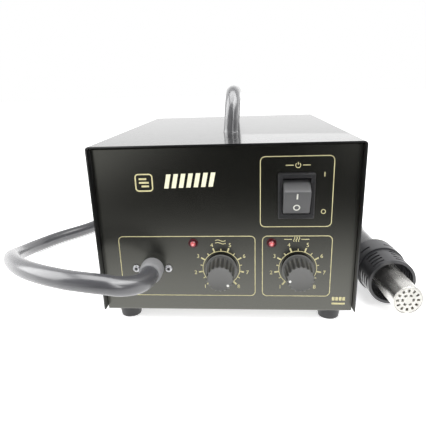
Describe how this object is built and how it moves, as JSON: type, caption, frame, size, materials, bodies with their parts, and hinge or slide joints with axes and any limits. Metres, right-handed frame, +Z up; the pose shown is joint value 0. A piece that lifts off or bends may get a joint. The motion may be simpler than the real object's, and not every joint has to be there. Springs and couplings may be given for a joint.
{
  "type": "hot air rework station",
  "caption": "Hot air rework station: black sheet steel case with carry handle, rocker switch and dials, and a hot air gun with a slotted collar on a rubber air hose.",
  "frame": {"origin": "under the middle of the box round the case and the gun, on the table; the air hose is left out of that box", "axes": "+X to the right, +Y away from the front panel, +Z up"},
  "size_m": [0.3736, 0.4876, 0.1721],
  "materials": {
    "case_paint": "gloss",
    "panel_paint": "satin",
    "black_rubber": "matt",
    "hose_rubber": "satin",
    "gloss_black": "gloss",
    "matt_black": "satin",
    "red_lens": "gloss, translucent",
    "zinc_screw": "plated",
    "black_screw": "satin",
    "stainless": "bright",
    "galvanised": "satin",
    "lamination": "varnished steel plates",
    "copper_wire": "enamelled copper",
    "winding_tape": "taped winding",
    "cast_head": "cast",
    "clear_tube": "soft tube",
    "brass_part": "plain",
    "board_green": "lacquered circuit board",
    "block_green": "plain",
    "capacitor_sleeve": "shrunk sleeve",
    "fuse_glass": "clear tube with metal caps",
    "lead_sleeve": "insulated wire",
    "white_ceramic": "unglazed",
    "mica": "mica sheet",
    "heater_alloy": "resistance wire"
  },
  "bodies": {
    "case": {"chassis": "panel_paint", "cover": "case_paint", "cover_screws": "black_screw", "rubber_feet": "black_rubber", "foot_bolts": "zinc_screw", "carry_handle": "gloss_black", "handle_screws": "zinc_screw", "switch_housing": "gloss_black", "switch_terminals": "brass_part", "air_control": "galvanised", "heater_control": "galvanised", "control_nuts": "zinc_screw", "lamp_lenses": "red_lens", "lamp_rings": "matt_black", "hose_outlet": "black_rubber", "outlet_screws": "zinc_screw", "air_hose": "hose_rubber", "pump_frame": "galvanised", "pump_cores": "lamination", "pump_coils": "copper_wire", "pump_diaphragms": "black_rubber", "pump_heads": "cast_head", "pump_mounts": "black_rubber", "head_screws": "zinc_screw", "air_tubes": "clear_tube", "transformer_core": "lamination", "transformer_winding": "winding_tape", "transformer_strap": "galvanised", "transformer_screws": "zinc_screw", "control_board": "board_green", "board_posts": "brass_part", "board_screws": "zinc_screw", "heat_sink": "cast_head", "triac": "matt_black", "capacitors": "capacitor_sleeve", "terminal_blocks": "block_green", "power_inlet": "matt_black", "inlet_pins": "brass_part", "inlet_screws": "black_screw", "fuse_holder": "matt_black", "mains_leads": "lead_sleeve"},
    "rocker": {"switch_rocker": "gloss_black"},
    "air_dial": {"air_knob": "matt_black", "air_spindle": "stainless"},
    "heater_dial": {"heater_knob": "matt_black", "heater_spindle": "stainless"},
    "armature": {"pump_armature": "lamination"},
    "fuse_carrier": {"fuse_cap": "matt_black", "fuse": "fuse_glass"},
    "gun": {"gun_pipe": "stainless", "heater_disc": "white_ceramic", "heater_former": "white_ceramic", "heater_wire": "heater_alloy", "mica_sleeve": "mica", "gun_collar": "matt_black", "gun_guard": "matt_black", "gun_grip": "gloss_black", "gun_tail": "matt_black", "gun_boot": "black_rubber", "gun_screws": "zinc_screw"}
  },
  "joints": [
    {"name": "power_rocker", "type": "hinge", "parent": "case", "child": "rocker", "pos_m": [0.02329, -0.1025, 0.0988], "axis": [1, 0, 0], "range_deg": [-36, 0]},
    {"name": "air_dial_turn", "type": "hinge", "parent": "case", "child": "air_dial", "pos_m": [-0.02971, -0.1085, 0.044], "axis": [0, 1, 0], "range_deg": [-273, 7]},
    {"name": "heater_dial_turn", "type": "hinge", "parent": "case", "child": "heater_dial", "pos_m": [0.02579, -0.1085, 0.044], "axis": [0, 1, 0], "range_deg": [-37, 243]},
    {"name": "armature_stroke", "type": "slide", "parent": "case", "child": "armature", "axis": [0, 1, 0], "range_m": [-0.0015, 0.0015], "stiffness_N_per_m": 3000, "deforming": ["pump_diaphragms"]},
    {"name": "fuse_cap_turn", "type": "hinge", "parent": "case", "child": "fuse_carrier", "pos_m": [-0.01621, 0.1155, 0.04], "axis": [0, 1, 0], "range_deg": [0, 90]},
    {"name": "gun_lift", "type": "slide", "parent": "case", "child": "gun", "axis": [0, 0, 1], "range_m": [0, 0.08]}
  ]
}
